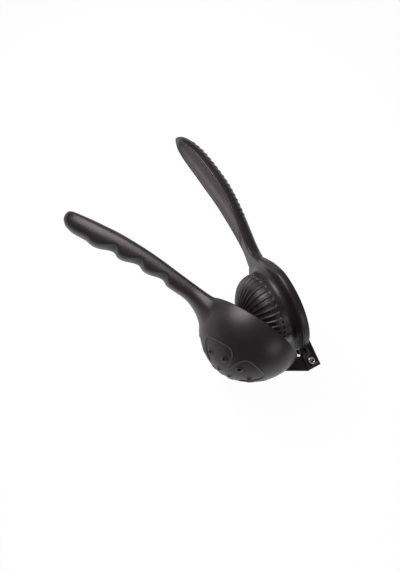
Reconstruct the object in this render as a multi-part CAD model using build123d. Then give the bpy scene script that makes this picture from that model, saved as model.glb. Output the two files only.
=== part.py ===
"""Hinged lemon squeezer: a bowl arm, a press arm and the tubular rivet they turn on.

Millimetres. The squeezer lies on its side: +X runs along the bowl arm from its grip to the
hinge, +Y points out of the bowl's mouth and +Z is up, along the rivet. The origin is on the
table directly under the middle of the bowl. Every piece is drawn about the squeezer's middle
plane and lifted by the bowl's radius at the end, and the press arm is drawn shut and then
swung open about the rivet.
"""
from build123d import *
import math
import os

os.makedirs("parts", exist_ok=True)

# ---- driving sizes ---------------------------------------------------------------------
BOWL_R = 40.0            # outside radius of the bowl
BOWL_WALL = 3.0          # thickness of the bowl
RIM_ROUND = 0.7          # rounding of the bowl's and the flange's edges
REST_ANGLE = 29.0        # how far the arms stand apart as drawn, degrees

PETALS = 5               # lobes of the flower on the bottom of the bowl
PETAL_REACH = 29.2       # its lobes' ends, from the bowl's axis
PETAL_VALLEY = 13.7      # where neighbouring lobes meet
PETAL_GAP = 14.0         # angle between the ends of neighbouring lobes, degrees
PETAL_START = 94.0       # direction of the first gap, degrees from +X towards +Z
PETAL_CORNER = 4.5       # rounding of the lobes' corners
PETAL_SINK = 0.4         # how far the flower is sunk into the bowl
PETAL_LINE = 0.8         # width of the raised line round it
PETAL_LINE_RISE = 0.3    # how far that line stands above the bowl
HOLE_R = 1.3             # drip holes
HOLE_OUTER = 20.8        # outer drip holes, two in each lobe, from the bowl's axis
HOLE_SPREAD = 18.0       # half the angle between those two, degrees
HOLE_INNER = 7.6         # inner drip holes, one in each lobe

FLANGE_INSET = 0.3       # edge of the flange inside the outside of the bowl
FLANGE_T = 5.0           # thickness of the flange
PEEL_GAP = 8.6           # room between the press and the inside of the bowl
PRESS_FILLET = 4.4       # fillet between the flange and the press
PRESS_STRAIGHT = 8.0     # straight part of the press, below the flange
PRESS_CROWN = 20.8       # height of its rounded end
PRESS_SHOULDER = 16.0    # radius of that end where it leaves the straight part
PRESS_WALL = 2.6         # thickness of the press, which is hollow from the back
FLUTES = 32              # flutes round the press
FLUTE_DEPTH = 0.9        # their depth
FLUTE_SHARE = 0.45       # part of the round that is flute
FLUTE_START = 90.0       # direction of the first flute, degrees from +X towards +Z
FLUTE_POLE = 2.2         # plain spot left at the end of the press

PIN_REACH = 10.7         # rivet's axis beyond the outside of the bowl
PIN_RISE = 5.5           # rivet's axis above the bowl's rim
PIN_R = 2.4              # shank of the rivet
PIN_BORE_R = 1.4         # hole through the rivet
PIN_HEAD_R = 2.85        # rolled head of the rivet
PIN_HEAD_T = 0.7         # thickness of that head
PIN_CLEARANCE = 0.05     # running clearance of the shank in the ears, on the radius
HEAD_CLEARANCE = 0.05    # between a head and the ear under it
HEAD_ROOM = 0.35         # between a head and the wall of its recess
LUG_HALF = 2.8           # half the thickness of the bowl arm's lug
LUG_CLEARANCE = 0.15     # between the lug and each ear
EAR_T = 2.85             # thickness of each ear
EAR_FRONT = 4.9          # ears beyond the rivet's axis
EAR_TOP = 4.3            # ears above the rivet's axis
KNUCKLE_R = 4.6          # round end of the lug
SLOT_ROOM = 1.2          # between the flange's edge and the bottom of the ears' slot

GRIP_DROP = 1.0          # scales the bowl arm's grip up and down, 1 = as listed below
GROOVE_R = 13.0          # radius of the finger grooves
GROOVE_DEPTH = 2.5       # depth of the finger grooves
GROOVE_PITCH = 22.0      # distance between finger grooves
GROOVE_FIRST = 17.0      # first finger groove from the outside of the bowl
GROOVES = 4              # finger grooves across the underside of the grip

SHELL_WALL = 2.4         # thickness of the press arm's channelled handle
RIBS = 17                # ribs across its back
RIB_PITCH = 4.1          # distance between ribs
RIB_W = 2.0              # width of a rib
RIB_RISE = 0.6           # height of a rib
RIB_REACH = 0.5          # part of the side that the ribs leave plain
RIB_FIRST = 31.3         # first rib from the outside of the bowl

# ---- sizes that follow -----------------------------------------------------------------
BOWL_IN = BOWL_R - BOWL_WALL
FLANGE_R = BOWL_R - FLANGE_INSET
PRESS_R = BOWL_IN - PEEL_GAP
PRESS_IN = PRESS_R - PRESS_WALL
PIN_X = BOWL_R + PIN_REACH
PIN_BODY_R = PIN_R + PIN_CLEARANCE
EAR_IN = LUG_HALF + LUG_CLEARANCE
EAR_OUT = EAR_IN + EAR_T
RECESS = PIN_HEAD_T + 2 * HEAD_CLEARANCE
PIVOT = Axis((PIN_X, PIN_RISE, 0), (0, 0, 1))

# grip of the bowl arm: distance from the outside of the bowl, top, underside, half width
GRIP = [
    (120.6, -10.4, -14.0, 3.0), (119.3, -8.7, -15.8, 6.2), (116.5, -7.6, -17.2, 8.6),
    (111.0, -6.2, -18.2, 10.2), (103.0, -4.5, -18.5, 11.0), (94.0, -2.8, -17.6, 11.4),
    (82.0, -0.8, -15.9, 11.4), (70.0, 0.4, -14.0, 11.2), (57.0, 1.2, -12.2, 10.8),
    (44.0, 1.3, -10.9, 10.4), (30.0, 0.9, -10.2, 10.2), (18.0, 0.7, -10.3, 10.8),
    (9.0, 0.4, -11.8, 12.4), (2.5, -0.5, -15.6, 15.2), (-4.0, -1.2, -20.0, 18.0),
]
# handle of the press arm: distance from the outside of the bowl, edge, depth, half width
SPOON = [
    (106.4, -10.9, 3.2, 2.6), (105.2, -10.8, 5.6, 5.6), (102.5, -10.4, 7.6, 8.6),
    (98.5, -9.6, 8.8, 11.0), (93.0, -8.3, 9.7, 13.0), (86.0, -6.6, 10.2, 14.6),
    (77.0, -4.8, 10.3, 15.7), (67.0, -3.2, 10.6, 16.1), (57.0, -1.8, 10.8, 15.5),
    (47.0, -0.8, 10.4, 14.2), (37.0, -0.4, 9.9, 12.6), (27.0, -0.3, 9.5, 10.6),
    (17.0, -0.6, 9.2, 8.2), (8.0, -1.1, 9.3, 6.4), (0.0, -1.8, 9.4, 6.8),
    (-6.5, -3.4, 9.4, 9.4), (-12.0, -6.4, 10.4, 13.0),
]
CHANNEL_END = 2.0        # where the channel runs out, from the outside of the bowl
CHANNEL_SHALLOW = 40.0   # where it starts to get shallower


def cut_plane(distance):
    """Plane across the handles: local x is -Z, local y is +Y."""
    return Plane(origin=(-BOWL_R - distance, 0, 0), x_dir=(0, 0, -1), z_dir=(1, 0, 0))


def row_at(rows, distance):
    """The row of a handle's list at a distance, between the two listed on either side."""
    after = min((row for row in rows if row[0] >= distance), key=lambda row: row[0],
                default=rows[0])
    before = max((row for row in rows if row[0] <= distance), key=lambda row: row[0],
                 default=rows[-1])
    share = (distance - before[0]) / ((after[0] - before[0]) or 1.0)
    return [b * (1 - share) + a * share for b, a in zip(before, after)]


def squircle(half_w, half_h, power, turns):
    """Points of a superellipse at the given turns, in degrees."""
    out = []
    for turn in turns:
        c, s = math.cos(math.radians(turn)), math.sin(math.radians(turn))
        out.append((math.copysign(abs(c) ** (2 / power), c) * half_w,
                    math.copysign(abs(s) ** (2 / power), s) * half_h))
    return out


def grip_section(distance, top, under, half):
    """Closed round section of the bowl arm's grip."""
    mid, tall = (top + under) / 2, (top - under) / 2
    points = [(x, mid + y) for x, y in squircle(half, tall, 2.35, range(0, 360, 30))]
    return cut_plane(distance) * make_face(Spline(*points, periodic=True))


def spoon_section(distance, edge, depth, half, below=0.0):
    """D-shaped section of the press arm's handle, flat side towards the bowl arm."""
    points = [(x, edge + y) for x, y in squircle(half, depth, 2.25, range(0, 181, 30))]
    arch = Spline(*points, tangents=[(0, 1), (0, -1)])
    if below:
        foot = Polyline(points[-1], (-half, edge - below), (half, edge - below), points[0])
    else:
        foot = Line(points[-1], points[0])
    return cut_plane(distance) * make_face(Curve() + [arch, foot])


def press_end(grow, reach=90.0):
    """The press's rounded end, grown outwards: a tight arc at the side, a wide one across."""
    side = PRESS_SHOULDER
    wide = ((PRESS_R - side) ** 2 + PRESS_CROWN ** 2 - side ** 2) / (2 * (PRESS_CROWN - side))
    mid_y = wide - PRESS_CROWN - PRESS_STRAIGHT
    join = math.degrees(math.atan2(mid_y + PRESS_STRAIGHT, PRESS_R - side))
    arcs = [CenterArc((PRESS_R - side, -PRESS_STRAIGHT), side + grow, 0, -join),
            CenterArc((0, mid_y), wide + grow, -join, -(reach - join))]
    return arcs, arcs[0] @ 0, arcs[1] @ 1


def around_y(shape, turn):
    """Turn a shape about the bowl's axis, from +X towards +Z."""
    return Rot(0, -turn, 0) * shape


# ---- bowl arm --------------------------------------------------------------------------
def make_flower(grow=0.0):
    """The flower's outline as a face on the plane of the rim."""
    edges = []
    step = 360 / PETALS
    for i in range(PETALS):
        start = PETAL_START + i * step

        def at(radius, turn):
            return (radius * math.cos(math.radians(turn)), radius * math.sin(math.radians(turn)))

        near, far = start + PETAL_GAP / 2, start + step - PETAL_GAP / 2
        edges.append(Line(at(PETAL_VALLEY, start), at(PETAL_REACH, near)))
        edges.append(ThreePointArc(at(PETAL_REACH, near), at(PETAL_REACH + 0.6, (near + far) / 2),
                                   at(PETAL_REACH, far)))
        edges.append(Line(at(PETAL_REACH, far), at(PETAL_VALLEY, start + step)))
    face = make_face(Curve() + edges)
    outer = [v for v in face.vertices() if Vector(v).length > (PETAL_VALLEY + PETAL_REACH) / 2]
    inner = [v for v in face.vertices() if Vector(v).length < (PETAL_VALLEY + PETAL_REACH) / 2]
    face = fillet(outer, PETAL_CORNER)
    inner = [v for v in face.vertices() if Vector(v).length < PETAL_VALLEY + 0.5]
    face = fillet(inner, 1.2)
    if grow:
        face = offset(face, grow)
    return Plane.XZ * face


def make_lower():
    """Bowl, flower and drip holes, grip with finger grooves, hinge lug."""
    inside = Sphere(BOWL_IN)
    lower_half = Pos(0, -BOWL_R, 0) * Box(4 * BOWL_R, 2 * BOWL_R, 4 * BOWL_R)
    bowl = (Sphere(BOWL_R) - inside) & lower_half

    grip = loft([grip_section(d, t * GRIP_DROP, u * GRIP_DROP, h) for d, t, u, h in GRIP])
    for i in range(GROOVES):
        distance = GROOVE_FIRST + i * GROOVE_PITCH
        _, _, under, half = row_at(GRIP, distance)
        under *= GRIP_DROP
        middle = (-BOWL_R - distance, under - GROOVE_R + GROOVE_DEPTH, 0)
        grip -= Pos(*middle) * Cylinder(GROOVE_R, 4 * half)

    seat = Pos(0, BOWL_R, 0) * Rot(90, 0, 0) * Cylinder(BOWL_R + 1.0, 2 * BOWL_R)
    arm = bowl + (grip - inside - seat)

    lug_low = (BOWL_R * 0.9, -BOWL_R * 0.40)
    lug = make_face(Polyline(lug_low, (PIN_X + 2.9, PIN_RISE - 7.0), (PIN_X + 4.0, PIN_RISE - 2.0),
                             (PIN_X, PIN_RISE), (PIN_X - 3.0, PIN_RISE + 1.0),
                             (BOWL_R + 0.1, 1.2), (BOWL_R - BOWL_WALL / 2, -0.5), close=True))
    lug += Pos(PIN_X, PIN_RISE) * Circle(KNUCKLE_R)
    lug = extrude(lug, LUG_HALF, both=True)
    arm += lug - inside

    line = make_flower(PETAL_LINE / 2) - make_flower(-PETAL_LINE / 2)
    ridge = extrude(line, BOWL_R * 1.2) & (Sphere(BOWL_R + PETAL_LINE_RISE) - Sphere(BOWL_IN + 1))
    sunk = extrude(make_flower(), BOWL_R * 1.2) & (Sphere(BOWL_R + 1) - Sphere(BOWL_R - PETAL_SINK))
    arm = arm - sunk + ridge

    holes = []
    for i in range(PETALS):
        middle = PETAL_START + (i + 0.5) * 360 / PETALS
        for radius, turn in ((HOLE_OUTER, middle - HOLE_SPREAD), (HOLE_OUTER, middle + HOLE_SPREAD),
                             (HOLE_INNER, middle)):
            spot = (radius * math.cos(math.radians(turn)), -BOWL_R,
                    radius * math.sin(math.radians(turn)))
            holes.append(Pos(*spot) * Rot(90, 0, 0) * Cylinder(HOLE_R, 1.4 * BOWL_R))
    arm -= holes
    arm -= Pos(PIN_X, PIN_RISE, 0) * Cylinder(PIN_R, 4 * LUG_HALF)
    return arm


# ---- press arm, drawn shut -------------------------------------------------------------
def make_upper():
    """Flange, fluted press, channelled handle with ribs, hinge ears."""
    arcs, side, pole = press_end(0.0)
    outline = make_face(Curve() + arcs + [
        Polyline(pole, (0, FLANGE_T), (FLANGE_R, FLANGE_T), (FLANGE_R, 0), (PRESS_R, 0), side)])
    corner = outline.vertices().sort_by_distance((PRESS_R, 0, 0))[0]
    outline = fillet([corner], PRESS_FILLET)
    edge = [v for v in outline.vertices() if abs(v.X - FLANGE_R) < 0.01]
    outline = fillet(edge, RIM_ROUND)
    body = revolve(outline, Axis.Y)

    arcs, side, pole = press_end(-PRESS_WALL)
    hollow = revolve(make_face(Curve() + arcs + [
        Polyline(pole, (0, FLANGE_T + 20), (side.X, FLANGE_T + 20), side)]), Axis.Y)

    channel_rows = []
    for d, e, t, h in SPOON[1:]:
        if d < CHANNEL_END:
            break
        fade = min(1.0, max(0.12, (d - CHANNEL_END) / (CHANNEL_SHALLOW - CHANNEL_END)))
        channel_rows.append((d - SHELL_WALL * 0.6, e, (t - SHELL_WALL) * fade,
                             h - SHELL_WALL * (0.9 if d > 100 else 1.0)))
    channel = loft([spoon_section(*row, below=6.0) for row in channel_rows])
    shell = loft([spoon_section(*row) for row in SPOON])

    ribs = []
    for i in range(RIBS):
        distance = RIB_FIRST + i * RIB_PITCH
        _, edge, depth, half = row_at(SPOON, distance)
        rib = extrude(spoon_section(distance + RIB_W / 2, edge, depth + RIB_RISE, half + RIB_RISE),
                      RIB_W)
        ribs.append(rib & (Pos(-BOWL_R - distance, edge + depth * RIB_REACH + BOWL_R, 0)
                           * Box(2 * RIB_W, 2 * BOWL_R, 4 * half)))
    shell = shell + ribs - channel
    arm = body + shell - hollow

    ear = make_face(Polyline(
        (BOWL_R - 6.0, FLANGE_T - 0.6), (BOWL_R - 6.0, FLANGE_T + 2.8),
        (BOWL_R - 4.2, PIN_RISE + EAR_TOP), (PIN_X + EAR_FRONT, PIN_RISE + EAR_TOP),
        (PIN_X + EAR_FRONT, 0), (PIN_X - 4.1, 0), (BOWL_R + 3.7, FLANGE_T - 0.6), close=True))
    block = extrude(ear, EAR_OUT, both=True)
    block = fillet(block.edges().filter_by(Axis.Z).group_by(Axis.X)[-1], 0.8)
    slot_x = FLANGE_R + SLOT_ROOM
    block -= Pos(slot_x + BOWL_R / 2, PIN_RISE, 0) * Box(BOWL_R, 4 * KNUCKLE_R, 2 * EAR_IN)
    arm += block

    inner, inner_a, inner_b = press_end(-FLUTE_DEPTH, 86.0)
    outer, outer_a, outer_b = press_end(1.5, 86.0)
    groove = revolve(make_face(Curve() + inner + outer + [Line(inner_a, outer_a),
                                                          Line(inner_b, outer_b)]),
                     Axis.Y, 360 / FLUTES * FLUTE_SHARE)
    mouth = [e for e in groove.edges() if abs(e.center().Y + PRESS_STRAIGHT) < 0.01
             and e.length < FLUTE_DEPTH + 1.6]
    groove = fillet(mouth, 0.42 * 2 * math.pi * PRESS_R / FLUTES * FLUTE_SHARE)
    groove -= Pos(0, -BOWL_R, 0) * Rot(90, 0, 0) * Cylinder(FLUTE_POLE, 4 * BOWL_R)
    half = 180 / FLUTES * FLUTE_SHARE
    arm -= [around_y(groove, FLUTE_START + i * 360 / FLUTES + half) for i in range(FLUTES)]

    arm -= Pos(PIN_X, PIN_RISE, 0) * Cylinder(PIN_BODY_R, 4 * EAR_OUT)
    for side in (-1, 1):
        arm -= Pos(PIN_X, PIN_RISE, side * (EAR_OUT - RECESS / 2 + 0.5)) * Cylinder(
            PIN_HEAD_R + HEAD_ROOM, RECESS + 1.0)
    return arm


def make_pin():
    """Tubular rivet with a rolled head at each end."""
    head_in = EAR_OUT - RECESS + HEAD_CLEARANCE
    rivet = Cylinder(PIN_R, 2 * head_in)
    for side in (-1, 1):
        head = Pos(0, 0, side * (head_in + PIN_HEAD_T / 2)) * Cylinder(PIN_HEAD_R, PIN_HEAD_T)
        rim = head.edges().filter_by(GeomType.CIRCLE).sort_by(Axis.Z)[-1 if side > 0 else 0]
        rivet += fillet([rim], 0.4)
    rivet -= Cylinder(PIN_BORE_R, 4 * EAR_OUT)
    return Pos(PIN_X, PIN_RISE, 0) * rivet


LIFT = Pos(0, 0, BOWL_R)
lower_arm = LIFT * make_lower()
hinge_pin = LIFT * make_pin()
upper_arm = LIFT * make_upper().rotate(PIVOT, -REST_ANGLE)

for name, shape in (("lower_arm", lower_arm), ("upper_arm", upper_arm), ("hinge_pin", hinge_pin)):
    solids = shape.solids()
    print(name, "solids", len(solids), "volume", round(shape.volume, 1),
          "box", shape.bounding_box())
    export_step(solids[0] if len(solids) == 1 else shape, "parts/" + name + ".step")
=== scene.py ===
# %% [markdown]
# # A hinged lemon squeezer
# An engineering model of the squeezer comes in first and is never moved. It says where the two
# arms and the rivet are, and which body each of them rides on. Every piece made here is in the
# same frame, so it goes where the model says and needs no fitting. The sizes are written in
# millimetres, as a maker would, and become metres when a vertex is placed.

# %% Load the frame
import math

import bmesh
import bpy
from mathutils import Matrix, Vector


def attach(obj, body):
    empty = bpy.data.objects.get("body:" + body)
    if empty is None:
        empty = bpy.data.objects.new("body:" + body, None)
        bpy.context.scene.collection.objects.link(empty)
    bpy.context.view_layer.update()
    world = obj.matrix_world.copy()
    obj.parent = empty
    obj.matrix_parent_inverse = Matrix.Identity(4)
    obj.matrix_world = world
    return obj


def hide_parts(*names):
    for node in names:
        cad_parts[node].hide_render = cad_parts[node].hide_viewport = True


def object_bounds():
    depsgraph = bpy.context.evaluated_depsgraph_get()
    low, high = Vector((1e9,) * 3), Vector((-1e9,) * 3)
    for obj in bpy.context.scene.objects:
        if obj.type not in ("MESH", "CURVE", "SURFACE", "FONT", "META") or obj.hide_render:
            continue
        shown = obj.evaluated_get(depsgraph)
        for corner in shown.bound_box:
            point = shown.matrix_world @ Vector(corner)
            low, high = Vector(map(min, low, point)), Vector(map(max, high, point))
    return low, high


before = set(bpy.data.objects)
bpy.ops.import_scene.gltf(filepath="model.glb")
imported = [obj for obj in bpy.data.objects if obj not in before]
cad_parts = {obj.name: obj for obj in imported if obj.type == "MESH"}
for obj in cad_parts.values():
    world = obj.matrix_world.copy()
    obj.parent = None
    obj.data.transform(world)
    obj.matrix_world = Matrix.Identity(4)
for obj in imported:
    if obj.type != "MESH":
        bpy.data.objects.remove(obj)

cad_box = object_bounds()
MM = 0.001
BOWL_R = 40.0              # outside radius of the bowl, and the height of the middle plane
print("frame nodes", sorted(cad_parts), "box", cad_box)

# %% [markdown]
# ## Camera
# The squeezer lies on its side and the camera looks down on it, a little from the grips' end
# and from under the bowl. A camera can be aimed with a Track To constraint, but that needs a
# target to keep. Here its right and up directions are given, the third is their cross product,
# and the three are the columns of its turn, so the view can't drift when the scene changes.

# %% Camera
CAMERA_AT = Vector((-78.0, -98.5, 434.9 + BOWL_R)) * MM
CAMERA_RIGHT = Vector((0.8119, 0.5549, 0.1813))
CAMERA_UP = Vector((-0.5806, 0.7999, 0.1519))
FOCAL_PX, IMAGE_TALL_PX, SENSOR_MM = 595.9, 570.0, 36.0

camera_data = bpy.data.cameras.new("portrait_camera")
camera_data.lens = FOCAL_PX / IMAGE_TALL_PX * SENSOR_MM
camera_data.sensor_width = SENSOR_MM
camera_data.clip_start, camera_data.clip_end = 0.01, 20.0
camera = bpy.data.objects.new("portrait_camera", camera_data)
bpy.context.scene.collection.objects.link(camera)
right = CAMERA_RIGHT.normalized()
up = (CAMERA_UP - right * right.dot(CAMERA_UP)).normalized()
back = right.cross(up)


def turned(first, second, third):
    """A turn whose columns are three directions square to each other."""
    return Matrix((first, second, third)).transposed().to_4x4()


camera.matrix_world = Matrix.Translation(CAMERA_AT) @ turned(right, up, back)
bpy.context.scene.camera = camera
print("camera lens", round(camera_data.lens, 2), "mm, looking along", tuple(-back))

# %% [markdown]
# ## A small language for materials
# Nodes can be wired one by one, but shader maths reads best as arithmetic. A Wire holds a
# node's output, and adding, multiplying or comparing Wires adds the Math nodes. Every other
# node comes from Paint.node: its kind, then its settings, then what goes into its sockets.

# %% Wires
class Wire:
    """An output socket that can be used in a Python expression."""

    def __init__(self, paint, socket):
        self.paint, self.socket = paint, socket

    def _math(self, operation, first, second):
        return self.paint.node("ShaderNodeMath", {"operation": operation}, {0: first, 1: second})

    def __add__(self, other):
        return self._math("ADD", self, other)

    def __radd__(self, other):
        return self._math("ADD", other, self)

    def __sub__(self, other):
        return self._math("SUBTRACT", self, other)

    def __rsub__(self, other):
        return self._math("SUBTRACT", other, self)

    def __mul__(self, other):
        return self._math("MULTIPLY", self, other)

    def __rmul__(self, other):
        return self._math("MULTIPLY", other, self)

    def __lt__(self, other):
        return self._math("LESS_THAN", self, other)

    def __gt__(self, other):
        return self._math("LESS_THAN", other, self)


# %% Paints
class Paint:
    """A material whose nodes are made one call at a time."""

    def __init__(self, name):
        self.material = bpy.data.materials.new(name)
        self.material.use_nodes = True
        self.tree = self.material.node_tree
        self.shader = self.tree.nodes["Principled BSDF"]

    def node(self, kind, settings=None, sockets=None, out=0):
        made = self.tree.nodes.new(kind)
        for name, value in (settings or {}).items():
            if name == "stops":
                ramp = made.color_ramp.elements
                while len(ramp) < len(value):
                    ramp.new(0.5)
                for element, (place, grey) in zip(ramp, value):
                    element.position, element.color = place, (grey, grey, grey, 1)
            else:
                setattr(made, name, value)
        for key, value in (sockets or {}).items():
            self.feed(made.inputs[key], value)
        return Wire(self, made.outputs[out])

    def feed(self, socket, value):
        if isinstance(value, Wire):
            self.tree.links.new(value.socket, socket)
        else:
            socket.default_value = value

    def set(self, **values):
        for key, value in values.items():
            self.feed(self.shader.inputs[key.replace("_", " ")], value)

    def place(self, kind="Object"):
        return self.node("ShaderNodeTexCoord", out=kind)

    def part_of(self, vector, number):
        return self.node("ShaderNodeSeparateXYZ", None, {0: vector}, out=number)

    def noise(self, scale, detail=2.0, rough=0.5):
        return self.node("ShaderNodeTexNoise", {"noise_dimensions": "3D"},
                         {"Vector": self.place(), "Scale": scale, "Detail": detail,
                          "Roughness": rough})

    def ramp(self, value, *stops):
        return self.node("ShaderNodeValToRGB", {"stops": stops}, {"Fac": value})

    def blend(self, factor, low, high):
        return self.node("ShaderNodeMix", {"data_type": "RGBA"},
                         {0: factor, 6: low, 7: high}, out=2)

    def bump(self, height, distance, strength):
        return self.node("ShaderNodeBump", None,
                         {"Height": height, "Distance": distance, "Strength": strength})


# %% [markdown]
# ## The moulding
# Both arms are one satin charcoal plastic. A flat colour would look like a drawing, and a
# picture of plastic would stretch over the curves, so three noises do the work. The finest is
# the spark-eroded skin of the mould, the next the slow unevenness of the gloss, and the third
# the slightly paler worn spots. All three are fixed to the piece's own place in space.

# %% Charcoal moulding
CHARCOAL = (0.0150, 0.0120, 0.0128, 1.0)
CHARCOAL_WORN = (0.0230, 0.0190, 0.0200, 1.0)
MOULDING_GLOSS = 0.35      # roughness of the plain skin; the noises and the wear add to it

moulding = Paint("charcoal_moulding")
grain = moulding.noise(5200.0, 2.0, 0.6)
peel = moulding.noise(240.0, 3.0, 0.55)
wear = moulding.ramp(moulding.noise(46.0, 5.0, 0.62), (0.42, 0.0), (0.72, 1.0))
skin_colour = moulding.blend(wear * 0.6, CHARCOAL, CHARCOAL_WORN)
print("moulding nodes for its skin", len(moulding.tree.nodes))

# %% [markdown]
# ## The matt channel and its painted light
# The inside of the spoon-shaped handle was left matt by its mould, so it is rougher. Its paler
# colour is painted light: it stands in for the light that falls into the channel. It could be
# a second material on chosen faces, but that makes a hard seam. The handle carries a map of its
# own instead: one number runs along it, the other round each ring, and two ramps turn them into
# a soft mask. A piece with no such map reads zero there, which is plain skin.

# %% Matt channel and its painted light
# Painted light: the channel's paler colour stands in for the light that falls into it.
CHARCOAL_PAINTED_LIGHT = (0.082, 0.070, 0.073, 1.0)
MATT_AND_LIGHT_ROUND = (0.60, 0.0), (0.65, 1.0), (0.89, 1.0), (0.94, 0.0)
MATT_AND_LIGHT_ALONG = (0.77, 1.0), (0.86, 0.0)

ring_map = moulding.place("UV")
along_share, round_share = moulding.part_of(ring_map, 0), moulding.part_of(ring_map, 1)
# One mask serves both: the channel's matt roughness and its painted light.
matt_and_painted_light = moulding.ramp(round_share, *MATT_AND_LIGHT_ROUND) * moulding.ramp(along_share, *MATT_AND_LIGHT_ALONG)
# Here the channel's colour is painted paler, as painted light; the roughness below is its real
# matt skin.
moulding.set(Base_Color=moulding.blend(matt_and_painted_light, skin_colour, CHARCOAL_PAINTED_LIGHT),
             Roughness=MOULDING_GLOSS + peel * 0.06 + wear * 0.03 + matt_and_painted_light * 0.2,
             Normal=moulding.bump(grain * 0.3 + peel * 0.5, 0.02 * MM, 0.4))
moulding.set(Specular_IOR_Level=0.4, Specular_Tint=(1.0, 0.90, 0.93, 1.0))
print("moulding nodes", len(moulding.tree.nodes))

# %% [markdown]
# ## The rivet's steel
# The rivet is bare stainless steel, handled and a little dulled. A fine noise moves its colour,
# gloss and height by small amounts. Its hole is coloured a darker brown: that could be another
# piece, but a distance from the rivet's axis, compared with the hole's radius, gives the mask at
# once.

# %% Rivet steel
PIN_X, PIN_Y = 50.7, 5.5
STEEL_DULL, STEEL_BRIGHT = (0.66, 0.61, 0.57, 1.0), (0.82, 0.77, 0.72, 1.0)
BORE_BROWN, BORE_R = (0.20, 0.13, 0.10, 1.0), 1.5

steel = Paint("rivet_steel")
marks = steel.noise(5200.0, 2.0, 0.5)
steel_place = steel.place()
off_x = steel.part_of(steel_place, 0) - PIN_X * MM
off_y = steel.part_of(steel_place, 1) - PIN_Y * MM
bore = off_x * off_x + off_y * off_y < (BORE_R * MM) ** 2
steel.set(Base_Color=steel.blend(bore, steel.blend(marks, STEEL_DULL, STEEL_BRIGHT), BORE_BROWN),
          Roughness=0.26 + marks * 0.08 + bore * 0.15,
          Normal=steel.bump(marks, 0.002 * MM, 0.3))
steel.set(Metallic=1.0)
print("steel nodes", len(steel.tree.nodes))

# %% [markdown]
# ## Helpers for the moulded pieces
# Both arms are soft, flowing shapes. They could be sculpted, or drawn as a few big faces under
# a subdivision surface, but then a size that is wrong is hard to put right. So each piece is a
# grid that is rolled into a tube, and a small function says where each of its vertices goes:
# how far along the piece it is, and how far round. A wrong size is then one wrong number.

# %% Places on the two arms
# The press arm is drawn shut and swung open by the same angle as the frame's own.
OPEN = math.radians(29.0)


def lifted(x, y, z):
    """A place on the bowl arm, from millimetres about the squeezer's middle plane."""
    return Vector((x, y, z + BOWL_R)) * MM


def opened(x, y, z):
    """The same for the press arm, drawn shut and swung open about the rivet."""
    across, rise = x - PIN_X, y - PIN_Y
    return lifted(PIN_X + across * math.cos(OPEN) + rise * math.sin(OPEN),
                  PIN_Y - across * math.sin(OPEN) + rise * math.cos(OPEN), z)


print("press arm's rim, shut and open", lifted(-BOWL_R, 0, 0), opened(-BOWL_R, 0, 0))

# %% Soft steps and fillets
def smooth_step(low, high, value):
    """0 before low, 1 after high, and a smooth rise between them; low may be the larger."""
    share = min(1.0, max(0.0, (value - low) / (high - low)))
    return share * share * (3 - 2 * share)


def soft_max(first, second, blend):
    """The larger of two numbers, with a fillet where they cross."""
    share = max(0.0, blend - abs(first - second)) / blend
    return max(first, second) + share * share * blend / 4


print("fillet where two equal heights meet", soft_max(1.0, 1.0, 2.0) - 1.0)

# %% Arcs and squarer rounds
def on_circle(x, y, radius, turn_deg):
    turn = math.radians(turn_deg)
    return x + radius * math.cos(turn), y + radius * math.sin(turn)


def arc(x, y, radius, start, end, count):
    """Places along an arc, both of its ends included."""
    return [on_circle(x, y, radius, start + (end - start) * k / count)
            for k in range(count + 1)]


def rounded(turn_deg, power):
    """The two factors of a superellipse: a circle at 2, and squarer as the power grows."""
    c, s = on_circle(0.0, 0.0, 1.0, turn_deg)
    return math.copysign(abs(c) ** (2 / power), c), math.copysign(abs(s) ** (2 / power), s)


print("corner of a round, and of a squarer one", rounded(45, 2), rounded(45, 4))

# %% Curves through tables
def cubic(start, end, pull_out, pull_in, share):
    """A cubic from start to end that leaves along pull_out and arrives along pull_in."""
    square, cube = share * share, share ** 3
    return (start * (2 * cube - 3 * square + 1) + end * (3 * square - 2 * cube)
            + pull_out * (cube - 2 * square + share) + pull_in * (cube - square))


def curve_at(rows, at):
    """A smooth curve through rows of numbers, read at a value of their first column."""
    rows = sorted(rows)
    i = max(0, min(len(rows) - 2, sum(row[0] <= at for row in rows) - 1))
    near, far = rows[i], rows[i + 1]
    span = far[0] - near[0]

    def slope(j, k):
        before, after = rows[max(0, j - 1)], rows[min(len(rows) - 1, j + 1)]
        return (after[k] - before[k]) / (after[0] - before[0])

    return [cubic(near[k], far[k], slope(i, k) * span, slope(i + 1, k) * span,
                  (at - near[0]) / span) for k in range(1, len(near))]


def spread(*stops):
    """Stations along a piece: (start, step) pairs and a last end, spaced evenly in between."""
    stations = []
    for (start, step), (end, _) in zip(stops[:-1], stops[1:]):
        count = max(1, round(abs(end - start) / step))
        stations += [start + (end - start) * i / count for i in range(count)]
    return stations + [stops[-1][0]]


print("stations from 3 to 0", spread((3.0, 0.8), (0.0, 0)))

# %% Skins and finished pieces
def skin(along, around, place, mapped=False):
    """A tube of along by around faces, each vertex moved to place(how far along, which one)."""
    mesh = bmesh.new()
    if mapped:
        mesh.loops.layers.uv.new("ring_map")
    bmesh.ops.create_grid(mesh, x_segments=along, y_segments=around, size=0.5, calc_uvs=mapped)
    for vertex in mesh.verts:
        step, turn_at = vertex.co.x + 0.5, round((vertex.co.y + 0.5) * around) % around
        vertex.co = place(round(step * along), turn_at)
    bmesh.ops.remove_doubles(mesh, verts=mesh.verts, dist=2e-6)
    bmesh.ops.dissolve_degenerate(mesh, edges=mesh.edges, dist=1e-7)
    ends = [edge for edge in mesh.edges if edge.is_boundary]
    if ends:
        bmesh.ops.holes_fill(mesh, edges=ends, sides=0)
    return mesh


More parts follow.
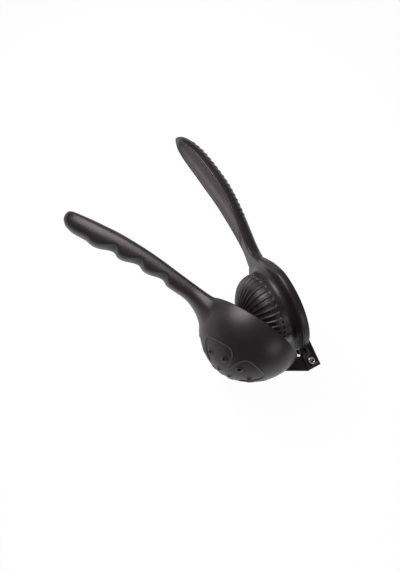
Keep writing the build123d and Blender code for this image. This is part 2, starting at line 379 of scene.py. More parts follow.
def to_data(name, mesh):
    """Mesh data from a bmesh, with its faces turned outwards and shaded smooth."""
    bmesh.ops.recalc_face_normals(mesh, faces=mesh.faces)
    data = bpy.data.meshes.new(name)
    mesh.to_mesh(data)
    mesh.free()
    for face in data.polygons:
        face.use_smooth = True
    return data


def finish_mesh(name, mesh, body, paint):
    """Turn a bmesh into a piece that rides on a body and takes its finish from a slot."""
    data = to_data(name, mesh)
    data.materials.append(paint.material)
    piece = bpy.data.objects.new(name, data)
    bpy.context.scene.collection.objects.link(piece)
    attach(piece, body)
    print(name, "faces", len(data.polygons))
    return piece


# %% Carving
def carve(piece, tool_mesh, operation="DIFFERENCE"):
    """Cut a closed mesh out of a piece, or join it on, and keep the result as its own mesh."""
    tool = bpy.data.objects.new("tool", to_data("tool", tool_mesh))
    bpy.context.scene.collection.objects.link(tool)
    step = piece.modifiers.new("carve", "BOOLEAN")
    step.operation, step.object, step.solver = operation, tool, "EXACT"
    graph = bpy.context.evaluated_depsgraph_get()
    result = bpy.data.meshes.new_from_object(piece.evaluated_get(graph))
    piece.modifiers.remove(step)
    old, piece.data = piece.data, result
    bpy.data.meshes.remove(old)
    bpy.data.objects.remove(tool)
    for face in result.polygons:
        face.use_smooth = True
    print(piece.name, "carved, faces", len(result.polygons))


# %% [markdown]
# ## The bowl
# The bowl holds the half lemon: a thin hemisphere with a rounded rim. On its underside is a
# flower of five petals, sunk a little and edged by a fine raised line, with three drip holes in
# each petal and a raised lip round each hole. The petals could be cut with curves, but a cut
# has sharp walls where a mould leaves soft ones. So the relief is a height, worked out for each
# vertex of a fine grid from how far inside the flower it lies, and only the holes are cut.

# %% Petals
PETALS, PETAL_START = 5, 94.0
PETAL_VALLEY, PETAL_REACH = 13.7, 29.2      # where two petals meet, and where one ends
PETAL_HALF = 29.0                           # half the angle across a petal's end, degrees
PETAL_END_R, PETAL_CORNER = PETAL_REACH + 0.5, 7.0
PETAL_STEP = 360.0 / PETALS


def petal_depth(radius, turn_deg):
    """How far inside the flower's outline a place is, in millimetres; negative outside."""
    turn = abs((turn_deg - PETAL_START) % PETAL_STEP - PETAL_STEP / 2)
    x, y = on_circle(0.0, 0.0, radius, turn)
    end_x, end_y = on_circle(0.0, 0.0, PETAL_REACH, PETAL_HALF)
    valley_x, valley_y = on_circle(0.0, 0.0, PETAL_VALLEY, PETAL_STEP / 2)
    long_x, long_y = end_x - valley_x, end_y - valley_y
    side = (long_x * (valley_y - y) + long_y * (x - valley_x)) / math.hypot(long_x, long_y)
    return -soft_max(-side, radius - PETAL_END_R, PETAL_CORNER)


print("depth in the middle of a petal", round(petal_depth(20.0, PETAL_START + 36.0), 2), "mm")

# %% Drip holes
HOLE_R = 1.3
# Each hole of a petal: its distance from the axis, and its degrees off the petal's middle.
HOLES_IN_PETAL = ((20.8, -18.0), (20.8, 18.0), (7.6, 0.0))

holes = [on_circle(0.0, 0.0, radius, PETAL_START + (petal + 0.5) * PETAL_STEP + off_middle)
         for petal in range(PETALS) for radius, off_middle in HOLES_IN_PETAL]
print("drip holes", len(holes))

# %% Relief
PETAL_SINK, PETAL_WALL = 0.35, (-0.25, 0.45)
LINE_RISE, LINE_HALF, LINE_OUT = 0.32, 0.45, 0.25           # the raised line round a petal
LIP_RISE, LIP_WIDE, LIP_R, LIP_REACH = 0.38, 0.75, HOLE_R + 0.35, 4.0
POLE_RISE, RELIEF_R = 1.6, 33.0             # the bowl is a little deeper than a hemisphere


def bump_at(off, wide):
    return math.exp(-(off / wide) ** 2)


def bowl_relief(x, z):
    """Height of the bowl's outside above its sphere, seen along its axis."""
    radius = math.hypot(x, z)
    if radius > RELIEF_R:
        return 0.0
    inside = petal_depth(radius, math.degrees(math.atan2(z, x)))
    height = POLE_RISE * (1 - (radius / RELIEF_R) ** 2) ** 2
    height -= PETAL_SINK * smooth_step(*PETAL_WALL, inside)
    height += LINE_RISE * bump_at(inside + LINE_OUT, LINE_HALF)
    for hole_x, hole_z in holes:
        gap = math.hypot(x - hole_x, z - hole_z)
        if gap < LIP_REACH:
            height += LIP_RISE * bump_at(gap - LIP_R, LIP_WIDE)
    return height


print("height at the pole", round(bowl_relief(0.0, 0.0), 2), "mm")

# %% Bowl's profile
BOWL_IN = 37.0
RIM_R = (BOWL_R - BOWL_IN) / 2 * 0.8
RIM_STEPS = 8


def hemisphere(radius, turns):
    return [on_circle(0.0, 0.0, radius, -turn) for turn in turns]


outer_rows = hemisphere(BOWL_R, spread((90.0, 0.75), (math.degrees(RIM_R / BOWL_R), 0)))
inner_rows = (arc(BOWL_R - RIM_R, -RIM_R, RIM_R, 0, 90, RIM_STEPS)[1:-1]
              + arc(BOWL_IN + RIM_R, -RIM_R, RIM_R, 90, 180, RIM_STEPS)[:-1]
              + hemisphere(BOWL_IN, spread((math.degrees(RIM_R / BOWL_IN), 2.2), (90.0, 0))))
profile = outer_rows + inner_rows
print("rows outside and inside", len(outer_rows), len(inner_rows))

# %% Bowl
BOWL_ROUND = 360


def bowl_place(step, turn_at):
    radius, y = profile[step]
    x, z = on_circle(0.0, 0.0, radius, 360.0 * turn_at / BOWL_ROUND)
    grow = 1 + bowl_relief(x, z) / BOWL_R if step < len(outer_rows) else 1
    return lifted(x * grow, y * grow, z * grow)


bowl = finish_mesh("bowl", skin(len(profile) - 1, BOWL_ROUND, bowl_place),
                   "bowl_arm", moulding)

# %% Drill the drip holes
DRILL_FROM, DRILL_TO, DRILL_SIDES = -46.0, -30.0, 28


def drills(places, radius):
    """Upright rods along the bowl's axis, as one mesh."""
    mesh = bmesh.new()
    for x, z in places:
        rod = bmesh.ops.create_cone(mesh, cap_ends=True, segments=DRILL_SIDES,
                                    radius1=radius * MM, radius2=radius * MM,
                                    depth=(DRILL_TO - DRILL_FROM) * MM)["verts"]
        bmesh.ops.rotate(mesh, verts=rod, matrix=Matrix.Rotation(math.pi / 2, 3, "X"))
        bmesh.ops.translate(mesh, verts=rod, vec=lifted(x, (DRILL_FROM + DRILL_TO) / 2, z))
    return mesh


carve(bowl, drills(holes, HOLE_R))

# %% [markdown]
# ## The grip
# The bowl arm's handle is a long rounded bar with finger grooves along its underside. It could
# be a swept tube with the grooves cut out, but cuts leave sharp edges for the fingers. Here the
# underside is the higher of two surfaces, the bar's own and a wavy one, with a fillet where
# they cross. Each section of the bar is squarer above than below, as a palm wants it.

# %% Finger grooves
# Each finger groove: its distance from the bowl, and its depth.
GROOVES = ((98.7, 1.4), (77.9, 3.0), (57.1, 2.7), (36.3, 2.6), (15.5, 0.5))
GROOVE_TO_TIP, GROOVE_TO_BOWL = 9.0, 4.5    # a groove runs out slowly towards the tip


def groove_height(distance):
    """How far the finger grooves lift the underside at a distance from the bowl."""
    return sum(deep * bump_at(distance - middle,
                              GROOVE_TO_TIP if distance > middle else GROOVE_TO_BOWL)
               for middle, deep in GROOVES)


print("deepest groove", max(round(groove_height(d), 2) for d in range(12, 120)), "mm")

# %% Grip's sections
# Each row: distance from the bowl, top, underside and half width.
GRIP = [
    (121.6, -12.4, -13.3, 0.6), (121.3, -10.9, -14.6, 3.2), (120.2, -8.9, -16.8, 6.4),
    (117.0, -7.4, -19.2, 9.0), (111.0, -6.0, -20.6, 10.4), (103.0, -4.3, -20.6, 11.0),
    (94.0, -2.6, -20.2, 11.4), (82.0, -0.6, -18.2, 11.4), (70.0, 0.6, -16.2, 11.2),
    (57.0, 1.4, -14.2, 10.8), (44.0, 1.6, -13.0, 10.4), (30.0, 1.3, -12.2, 10.2),
    (18.0, 1.1, -12.0, 10.3), (12.0, 1.0, -12.2, 10.6),
]
GRIP_WIDEST = 0.34                          # how far down the section its widest place is
SQUARE_ABOVE, SQUARE_BELOW = 2.8, 2.15
GROOVE_SIDES, GROOVE_FLOOR, GROOVE_FILLET = 1.5, 0.4, 1.5
GROOVE_FADE = (121.0, 112.0)                # there are no grooves at the very tip


def grip_section(distance, turn_deg):
    """(y, z) of the grip's skin, at a distance from the bowl and a turn round it."""
    top, under, half = curve_at(GRIP, distance)
    across, rise = rounded(turn_deg, SQUARE_ABOVE if turn_deg < 180 else SQUARE_BELOW)
    middle = top - GRIP_WIDEST * (top - under)
    y = middle + rise * (top - middle if rise > 0 else middle - under)
    grooves = groove_height(distance) * smooth_step(*GROOVE_FADE, distance)
    floor_y = under + GROOVE_FLOOR + grooves * (1 + GROOVE_SIDES * across * across)
    return soft_max(y, floor_y, GROOVE_FILLET), across * half


print("top and underside halfway", grip_section(60.0, 90.0)[0], grip_section(60.0, 270.0)[0])

# %% [markdown]
# ## The flare
# Where the grip meets the bowl it widens and lies down on it, with no edge. A boolean union
# would leave a crease there. Instead each line along the grip is carried on by a cubic, which
# leaves along the grip and arrives along the bowl: down its side below, and along its rim above.

# %% Flare
FLARE_FROM, FLARE_STEPS = 17.0, 32
FLARE_HALF, FLARE_TOP, FLARE_MIDDLE, FLARE_FOOT = 19.0, -0.05, -9.5, -21.5
FLARE_SQUARE_ABOVE, FLARE_SQUARE_BELOW = 4.8, 2.2
PULL_OUT_BELOW, PULL_OUT_ABOVE, PULL_IN_BELOW, PULL_IN_ABOVE = 34.0, 19.0, 12.0, 18.0
# How far out a line begins and ends to turn along the rim, and how far up to lie level.
TO_RIM, TO_LEVEL = (0.1, 0.95), (0.1, 0.75)
UNDER_SKIN = 0.05                           # a line ends this far inside the bowl's skin


def flare_end(turn_deg):
    """Where a line along the grip ends, on the bowl's side or on its rounded rim."""
    above = math.sin(math.radians(turn_deg)) >= 0
    across, rise = rounded(turn_deg, FLARE_SQUARE_ABOVE if above else FLARE_SQUARE_BELOW)
    y = FLARE_MIDDLE + abs(rise) * ((FLARE_TOP if above else FLARE_FOOT) - FLARE_MIDDLE)
    z = FLARE_HALF * across
    reach = math.sqrt(BOWL_R ** 2 - min(y, -RIM_R) ** 2)
    if y > -RIM_R:
        reach = BOWL_R - RIM_R + math.sqrt(max(0.0, RIM_R ** 2 - (y + RIM_R) ** 2))
    return Vector((-math.sqrt((reach - UNDER_SKIN) ** 2 - z * z), y, z)), across


def flare_place(share, turn_deg):
    """From the end of the grip's straight part onto the bowl, tangent to both."""
    start = Vector((-BOWL_R - FLARE_FROM, *grip_section(FLARE_FROM, turn_deg)))
    end, across = flare_end(turn_deg)
    normal = end.normalized()
    down_side = end - Vector((-BOWL_R, FLARE_MIDDLE, 0.0))
    down_side = (down_side - normal * down_side.dot(normal)).normalized()
    along_rim = Vector((abs(end.z), 0, -end.x * math.copysign(1, end.z))) / BOWL_R
    level_way = Vector((1, 0, 0)).lerp(along_rim, smooth_step(*TO_RIM, abs(across)))
    level = smooth_step(*TO_LEVEL, math.sin(math.radians(turn_deg)))
    pull_out = PULL_OUT_BELOW + (PULL_OUT_ABOVE - PULL_OUT_BELOW) * level
    pull_in = PULL_IN_BELOW + (PULL_IN_ABOVE - PULL_IN_BELOW) * level
    return cubic(start, end, Vector((pull_out, 0, 0)),
                 down_side.lerp(level_way, level).normalized() * pull_in, share)


print("flare's foot", tuple(round(c, 1) for c in flare_end(270.0)[0]), "mm")

# %% Grip
GRIP_ROUND = 112
SUNK = 0.985               # the last ring goes just inside the bowl's wall
grip_stations = spread((121.6, 0.25), (118.0, 0.6), (112.0, 0.8), (FLARE_FROM, 0))


def grip_place(step, turn_at):
    turn_deg = 360.0 * turn_at / GRIP_ROUND
    if step < len(grip_stations):
        distance = grip_stations[step]
        return lifted(-BOWL_R - distance, *grip_section(distance, turn_deg))
    share = (step - len(grip_stations) + 1) / FLARE_STEPS
    spot = flare_place(share, turn_deg)
    return lifted(*(spot * SUNK if share >= 1.0 else spot))


grip = finish_mesh("grip", skin(len(grip_stations) + FLARE_STEPS - 1, GRIP_ROUND, grip_place),
                   "bowl_arm", moulding)

# %% [markdown]
# ## The press
# The press is what squeezes: a flange that covers the bowl, and a deep rounded cup, hollow
# from the back, with flutes round its outside that let the juice run. It is a turned shape, so
# one row of places is spun round its axis. The flutes could be cut by an array of cutters, but
# here, too, a height does it with soft edges: each flute is as deep as a place is far inside
# its outline, up to its floor, and the outline has a round head and narrows to the cup's end.

# %% Cup's rounded end
PRESS_R, PRESS_STRAIGHT, PRESS_CROWN, PRESS_SHOULDER, PRESS_WALL = 28.4, 8.0, 20.8, 16.0, 2.6
CROWN_R = (((PRESS_R - PRESS_SHOULDER) ** 2 + PRESS_CROWN ** 2 - PRESS_SHOULDER ** 2)
           / (2 * (PRESS_CROWN - PRESS_SHOULDER)))
CROWN_Y = CROWN_R - PRESS_CROWN - PRESS_STRAIGHT
CROWN_TURN = math.degrees(math.atan2(CROWN_Y + PRESS_STRAIGHT, PRESS_R - PRESS_SHOULDER))


def crown_row(turn, grow):
    """A place down the cup's rounded end, which is two arcs, and its outward direction."""
    x, y, radius = 0.0, CROWN_Y, CROWN_R
    if turn < CROWN_TURN:
        x, y, radius = PRESS_R - PRESS_SHOULDER, -PRESS_STRAIGHT, PRESS_SHOULDER
    return (*on_circle(x, y, radius + grow, -turn), on_circle(0.0, 0.0, 1.0, -turn))


print("arc of the cup's end", round(CROWN_R, 2), "mm, from", round(CROWN_TURN, 1), "degrees")

# %% Press's profile
FLANGE_R, FLANGE_T, FLANGE_EDGE_LOW, FLANGE_EDGE_TOP = 40.1, 6.1, 1.9, 1.0
PRESS_FILLET, MOUTH_EDGE = 4.4, 0.8
FLUTE_HEAD = -7.6

fluted_rows = [crown_row(turn, 0.0) for turn in spread((90.0, 1.0), (0.0, 0))]
fluted_rows += [(PRESS_R, y, (1, 0)) for y in spread((FLUTE_HEAD, 0.5), (-PRESS_FILLET, 0))]
plain_rows = arc(PRESS_R + PRESS_FILLET, -PRESS_FILLET, PRESS_FILLET, 168, 96, 6)
plain_rows += [(PRESS_R + PRESS_FILLET, 0.0)]
plain_rows += arc(FLANGE_R - FLANGE_EDGE_LOW, FLANGE_EDGE_LOW, FLANGE_EDGE_LOW, -90, 0, 7)
plain_rows += arc(FLANGE_R - FLANGE_EDGE_TOP, FLANGE_T - FLANGE_EDGE_TOP, FLANGE_EDGE_TOP,
                  0, 90, 5)
plain_rows += arc(PRESS_R - PRESS_WALL + MOUTH_EDGE, FLANGE_T - MOUTH_EDGE, MOUTH_EDGE,
                  90, 180, 4)
plain_rows += [crown_row(turn, -PRESS_WALL)[:2] for turn in spread((0.0, 3.0), (90.0, 0))]
press_rows = fluted_rows + plain_rows
print("rows with flutes and without", len(fluted_rows), len(plain_rows))

# %% Flutes
FLUTES, FLUTE_SHARE, FLUTE_DEEP, FLUTE_START = 36, 0.66, 0.95, 90.0
FLUTE_WALL = 0.24          # roughly how wide a flute's sloping side is
FLUTE_TAIL = (1.2, 4.0)    # how near the axis a flute runs out


def flute_depth(radius, y, turn_deg):
    """How deep a flute is at a place on the cup's outside."""
    pitch = 360.0 / FLUTES
    off = (turn_deg - FLUTE_START + pitch / 2) % pitch - pitch / 2
    side = abs(math.radians(off)) * radius
    half = math.pi * radius / FLUTES * FLUTE_SHARE
    down = FLUTE_HEAD - y
    if down < 0 or radius <= 1.0:
        return 0.0
    limit = half if down > half else math.sqrt(max(0.0, half ** 2 - (half - down) ** 2))
    wall = min(FLUTE_WALL, half * 0.5)
    return (FLUTE_DEEP * smooth_step(-wall * 0.4, wall, limit - side)
            * smooth_step(*FLUTE_TAIL, radius))


print("flute's floor", round(flute_depth(PRESS_R, -12.0, FLUTE_START), 2), "mm deep")

# %% Press
PRESS_ROUND = FLUTES * 16                   # sixteen columns of vertices to a flute
FLANGE_IN, FLANGE_DROP = 2.5, 0.9           # the flange shrinks and thins towards the neck
SHRINK_TURN, THIN_TURN = (68.0, 42.0), (46.0, 30.0)         # degrees from the neck
FLANGE_FROM = 31.0                          # nearer to the axis nothing shrinks or thins


def press_place(step, turn_at):
    radius, y = press_rows[step][:2]
    turn_deg = 360.0 * turn_at / PRESS_ROUND
    from_neck = abs(turn_deg - 180.0)
    outer = smooth_step(FLANGE_FROM, FLANGE_R, radius)
    y -= FLANGE_DROP * smooth_step(*THIN_TURN, from_neck) * outer * max(0.0, y) / FLANGE_T
    radius -= FLANGE_IN * smooth_step(*SHRINK_TURN, from_neck) * outer
    if step < len(fluted_rows):
        way, depth = press_rows[step][2], flute_depth(radius, y, turn_deg)
        radius, y = radius - way[0] * depth, y - way[1] * depth
    x, z = on_circle(0.0, 0.0, radius, turn_deg)
    return opened(x, y, z)


press = finish_mesh("press", skin(len(press_rows) - 1, PRESS_ROUND, press_place),
                    "press_arm", moulding)

# %% [markdown]
# ## The spoon-shaped handle
# The press arm's handle is a thin shell like a long spoon: open towards the other arm, with a
# rounded edge, and with cross ribs on its back to hold it by. It could be a solid with its
# channel cut away, but the wall would then be thick here and thin there. So each ring of the
# skin goes over the back, round one edge, through the channel and round the other edge, and
# the ribs swell the back where the ring passes them.

# %% Spoon's sections
# Each row: distance from the press's rim, edge, depth, half width, squareness.
SPOON = [
    (108.0, -11.2, 0.5, 0.5, 2.25), (107.8, -11.2, 1.9, 2.4, 2.25), (107.0, -11.2, 3.8, 4.4, 2.25),
    (105.4, -11.1, 5.8, 6.8, 2.25), (102.5, -10.8, 7.6, 9.6, 2.25), (98.5, -10.0, 9.0, 12.0, 2.25),
    (93.0, -8.8, 10.1, 14.0, 2.25), (86.0, -7.1, 10.7, 15.4, 2.25), (77.0, -5.2, 10.9, 16.2, 2.25),
    (67.0, -3.5, 11.2, 16.4, 2.25), (57.0, -2.0, 11.3, 15.8, 2.25), (47.0, -1.0, 11.0, 14.4, 2.25),
    (37.0, -0.6, 10.7, 12.8, 2.25), (27.0, -0.5, 10.5, 10.6, 2.25), (17.0, -0.8, 10.4, 8.2, 2.25),
    (8.0, -1.2, 10.2, 6.5, 2.3), (2.0, -1.3, 9.9, 7.4, 2.5), (-1.0, -1.15, 9.35, 9.2, 2.7),
    (-3.0, -0.9, 8.7, 10.8, 2.9), (-5.0, -0.6, 7.9, 12.4, 3.1), (-6.5, -0.3, 7.1, 13.8, 3.3),
    (-8.0, 0.0, 6.3, 15.2, 3.5), (-10.0, 0.4, 5.4, 16.6, 3.8),
]
SHELL, FLOOR, RIM, CHANNEL_SQUARE = 2.4, 1.9, 1.15, 2.8
# For the thin ends: the most of a section that the edge takes, the least that the channel
# takes, the least depth to hollow out, and how open the channel is once its edge is round.
RIM_SHARE, CHANNEL_SHARE, HOLLOW_LEAST, EDGE_OPENS = 0.35, 0.3, 0.2, 0.6
TIP_WALL, TIP_FLOOR, NECK_WALL, NECK_FLOOR = 104.8, 102.0, 7.0, 36.0
print("spoon's rows", len(SPOON), "from", SPOON[0][0], "to", SPOON[-1][0], "mm")

# %% Ribs
RIB_FIRST, RIB_PITCH, RIBS, RIB_RISE = 31.3, 4.1, 17, 0.42
RIB_SLOPE, RIB_END = (-0.1, 0.8), (0.42, 0.66)      # from gap to crest, and down the side


def rib_swell(distance, rise):
    """How far the back is raised at a distance along the handle and a height up its side."""
    phase = (distance - RIB_FIRST) / RIB_PITCH
    along = smooth_step(-0.5, 0.0, phase) * smooth_step(RIBS - 0.5, RIBS - 1.0, phase)
    return (RIB_RISE * along * smooth_step(*RIB_SLOPE, math.cos(2 * math.pi * phase))
            * smooth_step(*RIB_END, rise))


on_rib, off_rib = [rib_swell(RIB_FIRST + RIB_PITCH * count, 1.0) for count in (1.0, 1.5)]
print("rib's rise", on_rib, "mm, and between two ribs", off_rib)

# %% One ring of the spoon
BACK_STEPS, EDGE_STEPS, CHANNEL_STEPS = 56, 10, 28
SPOON_ROUND = BACK_STEPS + 2 * EDGE_STEPS + CHANNEL_STEPS


def spoon_ring(distance):
    """The (z, y) places of one ring: back, far edge, channel and near edge."""
    edge, depth, half, power = curve_at(SPOON, distance)
    rim = min(RIM, depth * RIM_SHARE, half * RIM_SHARE)
    hollow = (smooth_step(TIP_WALL, TIP_FLOOR, distance)
              * smooth_step(NECK_WALL, NECK_FLOOR, distance))
    open_share = smooth_step(0.0, EDGE_OPENS, hollow)
    in_half = max(half * CHANNEL_SHARE, half - SHELL)
    in_depth = max(HOLLOW_LEAST, depth - rim - FLOOR) * hollow

    def back_place(turn):
        across, rise = rounded(turn, power)
        swell = rib_swell(distance, math.sin(math.radians(turn)))
        return across * (half + swell), edge + rim + rise * (depth - rim + swell)

    def edge_place(middle, k, outer):
        """On a rounded edge, whose inner half lies flat where there is no channel."""
        across, rise = on_circle(0.0, 0.0, 1.0, 180.0 * k / EDGE_STEPS)
        drop = rise if outer else 1 - (1 - rise) * open_share
        return middle - across * (half - in_half) / 2, edge + rim - rim * drop

    def channel_place(turn):
        across, rise = rounded(turn, CHANNEL_SQUARE)
        return across * in_half, edge + rim * open_share + rise * in_depth

    edge_middle = (half + in_half) / 2
    return ([back_place(180.0 * k / BACK_STEPS) for k in range(BACK_STEPS)]
            + [edge_place(-edge_middle, k, k <= EDGE_STEPS / 2) for k in range(EDGE_STEPS)]
            + [channel_place(180.0 - 180.0 * k / CHANNEL_STEPS) for k in range(CHANNEL_STEPS)]
            + [edge_place(edge_middle, k, k >= EDGE_STEPS / 2) for k in range(EDGE_STEPS)])


print("places in a ring", len(spoon_ring(60.0)), "of", SPOON_ROUND)

# %% Spoon handle
spoon_stations = spread((108.0, 0.2), (105.0, 0.35), (99.0, 0.41), (29.0, 0.9), (6.0, 0.45),
                        (-10.0, 0))
spoon_rings = [spoon_ring(distance) for distance in spoon_stations]


def spoon_place(step, turn_at):
    z, y = spoon_rings[step][turn_at]
    return opened(-BOWL_R - spoon_stations[step], y, z)


spoon = finish_mesh("spoon_handle",
                    skin(len(spoon_stations) - 1, SPOON_ROUND, spoon_place, mapped=True),
                    "press_arm", moulding)

# %% [markdown]
# ## The hinge
# Two ears on the press arm straddle one lug on the bowl arm, and the rivet goes through all
# three. They are flat shapes with small rounded edges, so here the plain way is the best one:
# an outline is drawn, pulled to its thickness and bevelled. The ears get a bridge and two webs
# that tie them to the flange, and the rivet's hole and recesses are drilled last.

# %% Plates
LUG_HALF, EAR_IN, WEB_OUT, EAR_OUT = 2.8, 2.95, 4.6, 5.8
LUG_BEVEL, EAR_BEVEL, BRIDGE_BEVEL, WEB_BEVEL = 0.3, 0.35, 0.2, 0.25


def plate(outline, low_z, high_z, place, bevel):
    """A flat outline in millimetres, pulled to its thickness and bevelled all round."""
    mesh = bmesh.new()
    face = mesh.faces.new([mesh.verts.new((x, y, low_z)) for x, y in outline])
    pulled = bmesh.ops.extrude_face_region(mesh, geom=[face])["geom"]
    top = [item for item in pulled if isinstance(item, bmesh.types.BMVert)]
    bmesh.ops.translate(mesh, verts=top, vec=(0, 0, high_z - low_z))
    bmesh.ops.recalc_face_normals(mesh, faces=mesh.faces)
    bmesh.ops.bevel(mesh, geom=mesh.edges[:], offset=bevel, affect="EDGES", segments=3,
                    profile=0.5, material=-1, clamp_overlap=True)
    for vertex in mesh.verts:
        vertex.co = place(*vertex.co)
    return mesh


# %% Lug
KNUCKLE_R = 4.6
lug_outline = ([(36.6, -13.7), (PIN_X + 3.2, PIN_Y - 7.4)]
               + arc(PIN_X, PIN_Y, KNUCKLE_R, -40, 150, 16)
               + [(42.9, 4.0), (41.1, 2.6), (40.4, 0.6), (39.4, -0.4), (38.2, -1.0)])
lug = finish_mesh("lug", plate(lug_outline, -LUG_HALF, LUG_HALF, lifted, LUG_BEVEL),
                  "bowl_arm", moulding)

# %% Ears
ear_outline = [(BOWL_R - 6.0, 4.4), (BOWL_R + 3.7, 4.4), (PIN_X - 4.1, 0.0),
               (PIN_X + 5.5, 0.0), (PIN_X + 5.5, PIN_Y + 4.9), (BOWL_R - 3.9, PIN_Y + 5.5),
               (BOWL_R - 6.6, FLANGE_T - 0.5)]
ears = finish_mesh("hinge_ears", plate(ear_outline, EAR_IN, EAR_OUT, opened, EAR_BEVEL),
                   "press_arm", moulding)
carve(ears, plate(ear_outline, -EAR_OUT, -EAR_IN, opened, EAR_BEVEL), "UNION")

# %% Bridge and webs
BRIDGE_HALF = EAR_IN + 0.6
bridge_outline = [(BOWL_R - 5.6, 4.5), (BOWL_R + 0.9, 4.5), (BOWL_R + 0.9, PIN_Y + 4.9),
                  (BOWL_R - 3.9, PIN_Y + 5.3), (BOWL_R - 6.2, FLANGE_T - 0.4)]
web_outline = [(BOWL_R - 5.0, 0.7), (BOWL_R + 2.2, 0.4), (BOWL_R + 3.0, 0.8),
               (BOWL_R + 4.2, 2.4), (BOWL_R + 5.8, 1.2), (BOWL_R + 7.2, 4.0),
               (BOWL_R + 4.0, 6.5), (BOWL_R - 5.0, 5.5)]
carve(ears, plate(bridge_outline, -BRIDGE_HALF, BRIDGE_HALF, opened, BRIDGE_BEVEL), "UNION")
for low_z, high_z in ((EAR_IN, WEB_OUT), (-WEB_OUT, -EAR_IN)):
    carve(ears, plate(web_outline, low_z, high_z, opened, WEB_BEVEL), "UNION")

# %% Drill the hinge
RIVET_R, EAR_HOLE_R, RECESS_R, RECESS = 2.4, 2.45, 3.2, 0.8
PAST = 9.0                 # how far a drill starts and ends from the middle plane
HINGE_SIDES = 48


def hinge_drill(radius, low_z, high_z, place):
    """A rod about the rivet's axis."""
    mesh = bmesh.new()
    bmesh.ops.create_cone(mesh, cap_ends=True, segments=HINGE_SIDES,
                          radius1=radius, radius2=radius, depth=high_z - low_z)
    for vertex in mesh.verts:
        x, y, z = vertex.co
        vertex.co = place(PIN_X + x, PIN_Y + y, (low_z + high_z) / 2 + z)
    return mesh


carve(ears, hinge_drill(EAR_HOLE_R, -PAST, PAST, opened))
for low_z in (-EAR_OUT - 1.0, EAR_OUT - RECESS):
    carve(ears, hinge_drill(RECESS_R, low_z, low_z + RECESS + 1.0, opened))
carve(lug, hinge_drill(RIVET_R, -PAST, PAST, lifted))

# %% [markdown]
# ## The rivet
# The rivet is a steel tube whose ends are rolled over into bright rings, with a dark hole right
# through. Two tori on a cylinder would meet it in a crease, so its whole outline is drawn as
# one closed row of places, outside, round one roll, down the hole and round the other roll.

# %% Rivet
RIVET_HOLE, HEAD_IN, RIVET_ROUND = 1.4, 5.05, 64
ROLL_R, ROLL, ROLL_FLAT, ROLL_STEPS = 2.12, 0.72, 0.85, 18

rolled = [(ROLL_R + ROLL * across, HEAD_IN + 0.05 + ROLL * ROLL_FLAT * rise)
          for across, rise in arc(0.0, 0.0, 1.0, -30, 210, ROLL_STEPS)]
rivet_rows = ([(RIVET_R, 0.0), (RIVET_R, HEAD_IN - 0.05)] + rolled
              + [(RIVET_HOLE + 0.05, HEAD_IN - 0.6), (RIVET_HOLE, 0.0)])
rivet_rows += [(radius, -z) for radius, z in reversed(rivet_rows[1:-1])]


def rivet_place(step, turn_at):
    radius, z = rivet_rows[step % len(rivet_rows)]
    return lifted(*on_circle(PIN_X, PIN_Y, radius, 360.0 * turn_at / RIVET_ROUND), z)


rivet = finish_mesh("rivet", skin(len(rivet_rows), RIVET_ROUND, rivet_place),
                    "bowl_arm", steel)

# %% [markdown]
# ## Which piece stands for which solid
# The frame's solids stay in the engineering model for its contacts, but needn't be seen any
# more. The pieces made here stand in for them, so each solid they stand for is hidden.

# %% Stand in for the frame's solids
for piece in (bowl, grip, lug):
    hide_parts("lower_arm")
for piece in (press, spoon, ears):
    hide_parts("upper_arm")
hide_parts("hinge_pin")
print("solids stood for", sorted(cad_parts))

# %% [markdown]
# ## Floor
# A plain pale floor touches the lowest point of the squeezer. A white page could come from more
# light, but that would bleach the squeezer as well. So the floor is a pale paint that camera,
# mirror and glass rays see mostly as a white glow: they meet a white page, and the tenth of
# paint that they still see keeps the squeezer's soft shadow.

# %% Floor
FLOOR_HALF_M = 6.0

sheet = bmesh.new()
bmesh.ops.create_grid(sheet, x_segments=1, y_segments=1, size=FLOOR_HALF_M)
bmesh.ops.translate(sheet, verts=sheet.verts, vec=(0, 0, cad_box[0][2]))
floor_mesh = bpy.data.meshes.new("floor")
sheet.to_mesh(floor_mesh)
sheet.free()
floor = bpy.data.objects.new("floor", floor_mesh)
bpy.context.scene.collection.objects.link(floor)
print("floor at", cad_box[0][2], "m")

# %% Page
PAGE_GLOW, GLOW_SHARE = 1.07, 0.9

page = Paint("floor_page")
page.set(Base_Color=(0.86, 0.86, 0.86, 1.0), Roughness=0.9)
page.set(Specular_IOR_Level=0.1)
camera_ray, glossy_ray, through_ray = [
    page.node("ShaderNodeLightPath", out=kind)
    for kind in ("Is Camera Ray", "Is Glossy Ray", "Is Transmission Ray")]
glow = page.node("ShaderNodeEmission", None, {"Color": (1, 1, 1, 1), "Strength": PAGE_GLOW})
seen = page.node("ShaderNodeMixShader", None,
                 {0: (camera_ray + glossy_ray + through_ray) * GLOW_SHARE,
                  1: Wire(page, page.shader.outputs[0]), 2: glow})
page.feed(page.tree.nodes["Material Output"].inputs["Surface"], seen)
floor_mesh.materials.append(page.material)
print("page nodes", len(page.tree.nodes))

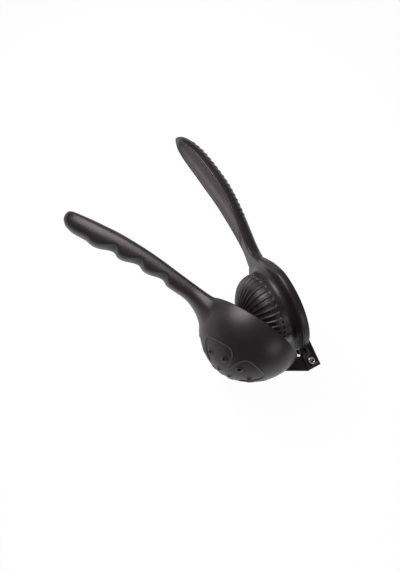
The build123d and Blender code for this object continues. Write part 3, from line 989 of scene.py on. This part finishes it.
# %% [markdown]
# ## Light
# Satin plastic shows a soft box as a soft bright patch, and where the patch falls tells the eye
# the shape. One big lamp would light everything the same. Four soft boxes are each placed by
# what they should light: a spot on the squeezer, a direction from it, and a distance. Their
# strength is given as brightness, so a box that is made larger softens without glaring more.

# %% Soft boxes
def soft_box(name, lit, direction, distance, size, brightness, along=(1, 0, 0)):
    """A lamp at a distance in metres from the place it lights, in millimetres. Directions
    are right, up and towards the camera, and its long side lies along one of them."""
    data = bpy.data.lights.new(name, "AREA")
    data.shape, data.size, data.size_y = "RECTANGLE", size[0], size[1]
    data.energy = brightness * math.pi * size[0] * size[1]
    lamp = bpy.data.objects.new(name, data)
    lamp.visible_camera = False
    way = (right * direction[0] + up * direction[1] + back * direction[2]).normalized()
    long_side = right * along[0] + up * along[1] + back * along[2]
    long_side = (long_side - way * long_side.dot(way)).normalized()
    lamp.matrix_world = (Matrix.Translation(Vector(lit) * MM + way * distance)
                         @ turned(long_side, way.cross(long_side), way))
    bpy.context.scene.collection.objects.link(lamp)
    print(name, "watts", round(data.energy, 3))


soft_box("key", lit=(-17.4, -2.5, 75.9), direction=(-0.41, 0.62, 0.67), distance=0.20,
         size=(0.16, 0.12), brightness=7.2, along=(0.86, -0.5, 0))
soft_box("over", lit=(-85.0, 70.0, 42.0), direction=(-0.12, -0.08, 0.98), distance=0.11,
         size=(0.11, 0.09), brightness=1.8, along=(0.54, -0.84, 0))
soft_box("top", lit=(-158.0, -8.0, 48.0), direction=(0.20, 0.82, 0.55), distance=0.20,
         size=(0.07, 0.05), brightness=3.0, along=(0.86, -0.5, 0))
soft_box("low", lit=(10.0, -20.0, 75.0), direction=(0.66, -0.56, 0.50), distance=1.1,
         size=(0.4, 0.4), brightness=3.5)

# %% Room
ROOM_LIGHT = 0.15

world = bpy.data.worlds.new("studio")
world.use_nodes = True
bpy.context.scene.world = world
room = world.node_tree.nodes["Background"].inputs
room["Color"].default_value = (1.0, 1.0, 1.0, 1.0)
room["Strength"].default_value = ROOM_LIGHT
bpy.context.scene.view_settings.view_transform = "Standard"
print("room light", ROOM_LIGHT)
